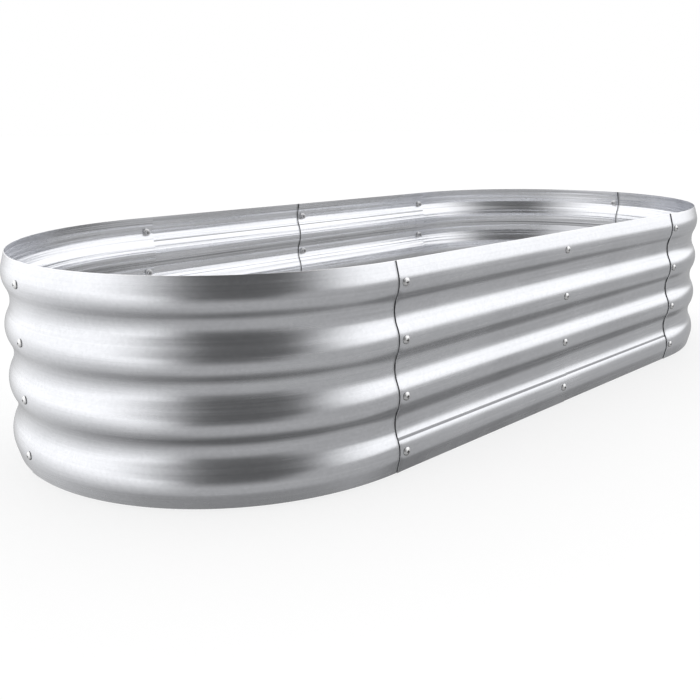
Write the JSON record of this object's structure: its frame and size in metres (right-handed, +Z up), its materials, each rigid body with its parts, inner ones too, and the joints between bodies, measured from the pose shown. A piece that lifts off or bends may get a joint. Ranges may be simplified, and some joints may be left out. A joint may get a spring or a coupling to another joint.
{
  "type": "raised garden bed",
  "caption": "Oval raised garden bed: a low ring of lapped corrugated galvanised sheet panels screwed together, open at top and bottom.",
  "frame": {"origin": "middle of the bed's length and width, at the bottom edge of the sheets", "axes": "+X along the bed towards its right end, -Y out of the front side, +Z up"},
  "size_m": [1.5262, 0.7262, 0.3],
  "materials": {
    "galvanised_sheet": "satin zinc coating with fine lengthwise streaks",
    "screw_plating": "bright zinc plating",
    "washer_plating": "bright zinc plating",
    "nut_plating": "bright zinc plating"
  },
  "bodies": {
    "root": {"front_left_corner": "galvanised_sheet", "front_left_panel": "galvanised_sheet", "front_right_corner": "galvanised_sheet", "front_right_panel": "galvanised_sheet", "back_right_corner": "galvanised_sheet", "back_right_panel": "galvanised_sheet", "back_left_corner": "galvanised_sheet", "back_left_panel": "galvanised_sheet", "front_left_screws": "screw_plating", "front_left_washers": "washer_plating", "front_left_nuts": "nut_plating", "front_middle_screws": "screw_plating", "front_middle_washers": "washer_plating", "front_middle_nuts": "nut_plating", "front_right_screws": "screw_plating", "front_right_washers": "washer_plating", "front_right_nuts": "nut_plating", "right_end_screws": "screw_plating", "right_end_washers": "washer_plating", "right_end_nuts": "nut_plating", "back_right_screws": "screw_plating", "back_right_washers": "washer_plating", "back_right_nuts": "nut_plating", "back_middle_screws": "screw_plating", "back_middle_washers": "washer_plating", "back_middle_nuts": "nut_plating", "back_left_screws": "screw_plating", "back_left_washers": "washer_plating", "back_left_nuts": "nut_plating", "left_end_screws": "screw_plating", "left_end_washers": "washer_plating", "left_end_nuts": "nut_plating"}
  },
  "joints": []
}
